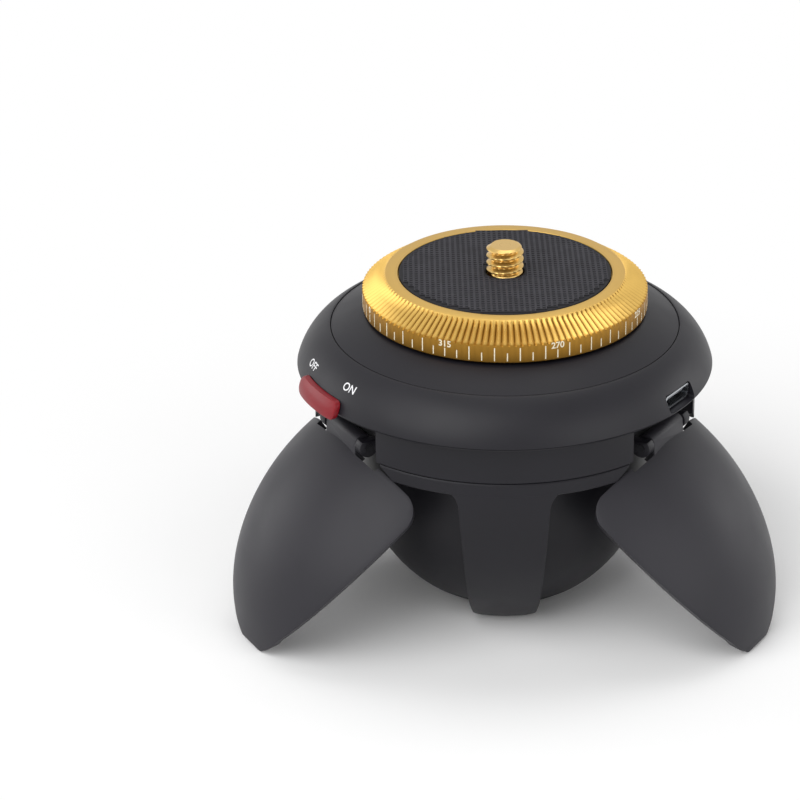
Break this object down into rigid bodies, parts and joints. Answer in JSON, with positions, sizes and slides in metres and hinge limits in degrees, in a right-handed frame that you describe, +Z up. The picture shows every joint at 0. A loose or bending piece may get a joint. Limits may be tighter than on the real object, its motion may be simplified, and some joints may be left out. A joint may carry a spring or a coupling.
{
  "type": "motorised pan head",
  "caption": "Motorised pan head with a degree dial and camera screw, a saucer body with power slider and charging socket, a ball housing and folding petal legs.",
  "frame": {"origin": "on the ground under the middle of the part's box, with the part standing on the tips of its open legs", "axes": "+Z up along the pan axis, -Y to the front between the two front legs, +X to the right with the charging socket"},
  "size_m": [0.0942, 0.0866, 0.0638],
  "materials": {
    "black_plastic": "soft satin black moulded plastic",
    "gold_anodised": "gold anodised, turned, satin",
    "gold_screw": "gold coloured machined thread",
    "pad_rubber": "matt black rubber with a fine square grid",
    "switch_red": "semi-gloss red moulded plastic",
    "plain_steel": "bright plain steel",
    "bare_brass": "machined brass",
    "gear_plastic": "white moulded plastic",
    "battery_wrap": "smooth grey wrap",
    "board_green": "green coated circuit board",
    "dark_window": "dark moulded receiver"
  },
  "bodies": {
    "body": {"leg_frame": "black_plastic", "ball_shell": "black_plastic", "base_insert": "bare_brass", "lower_housing": "black_plastic", "rim_shell": "black_plastic", "top_cover": "black_plastic", "gear_plate": "gear_plastic", "spindle_bush": "bare_brass", "thrust_washer": "plain_steel", "idler_axle": "plain_steel", "motor": "plain_steel", "battery": "battery_wrap", "battery_cradle": "black_plastic", "main_board": "board_green", "usb_socket": "plain_steel", "ir_receiver": "dark_window", "switch_body": "black_plastic", "housing_screw_1": "plain_steel", "housing_screw_2": "plain_steel", "housing_screw_3": "plain_steel", "frame_screw_1": "plain_steel", "frame_screw_2": "plain_steel", "frame_screw_3": "plain_steel", "motor_screw_1": "plain_steel", "motor_screw_2": "plain_steel", "hinge_pin_1": "plain_steel", "hinge_pin_2": "plain_steel", "hinge_pin_3": "plain_steel"},
    "turntable": {"turntable_hub": "black_plastic", "spindle": "plain_steel", "retaining_clip": "plain_steel", "output_gear": "gear_plastic", "dial_ring": "gold_anodised", "top_pad": "pad_rubber", "camera_screw": "gold_screw", "hub_screw_1": "plain_steel", "hub_screw_2": "plain_steel", "hub_screw_3": "plain_steel"},
    "idler": {"idler_gear": "gear_plastic"},
    "pinion": {"motor_pinion": "plain_steel"},
    "left_leg": {"leg_left": "black_plastic"},
    "right_leg": {"leg_right": "black_plastic"},
    "rear_leg": {"leg_rear": "black_plastic"},
    "power_switch": {"switch_knob": "switch_red"}
  },
  "joints": [
    {"name": "turntable_pan", "type": "hinge", "parent": "body", "child": "turntable", "pos_m": [0, -0.00735, 0.05297], "axis": [0, 0, 1], "continuous": true},
    {"name": "idler_spin", "type": "hinge", "parent": "body", "child": "idler", "pos_m": [0, 0.01065, 0.04597], "axis": [0, 0, 1], "continuous": true},
    {"name": "motor_spin", "type": "hinge", "parent": "body", "child": "pinion", "pos_m": [-0.00645, 0.00301, 0.04497], "axis": [0, 0, 1], "continuous": true},
    {"name": "leg_left_fold", "type": "hinge", "parent": "body", "child": "left_leg", "pos_m": [-0.0265, -0.02265, 0.03587], "axis": [0.5, -0.866, 0], "range_deg": [0, 53.5]},
    {"name": "leg_right_fold", "type": "hinge", "parent": "body", "child": "right_leg", "pos_m": [0.0265, -0.02265, 0.03587], "axis": [0.5, 0.866, 0], "range_deg": [0, 53.5]},
    {"name": "leg_rear_fold", "type": "hinge", "parent": "body", "child": "rear_leg", "pos_m": [0, 0.02325, 0.03587], "axis": [-1, 0, 0], "range_deg": [0, 53.5]},
    {"name": "power_switch_slide", "type": "hinge", "parent": "body", "child": "power_switch", "pos_m": [0, -0.00735, 0.04382], "axis": [0, 0, -1], "range_deg": [0, 4.8]}
  ],
  "couplings": [
    {"joint": "idler_spin", "follows": "turntable_pan", "ratio": -4},
    {"joint": "motor_spin", "follows": "turntable_pan", "ratio": 12}
  ]
}
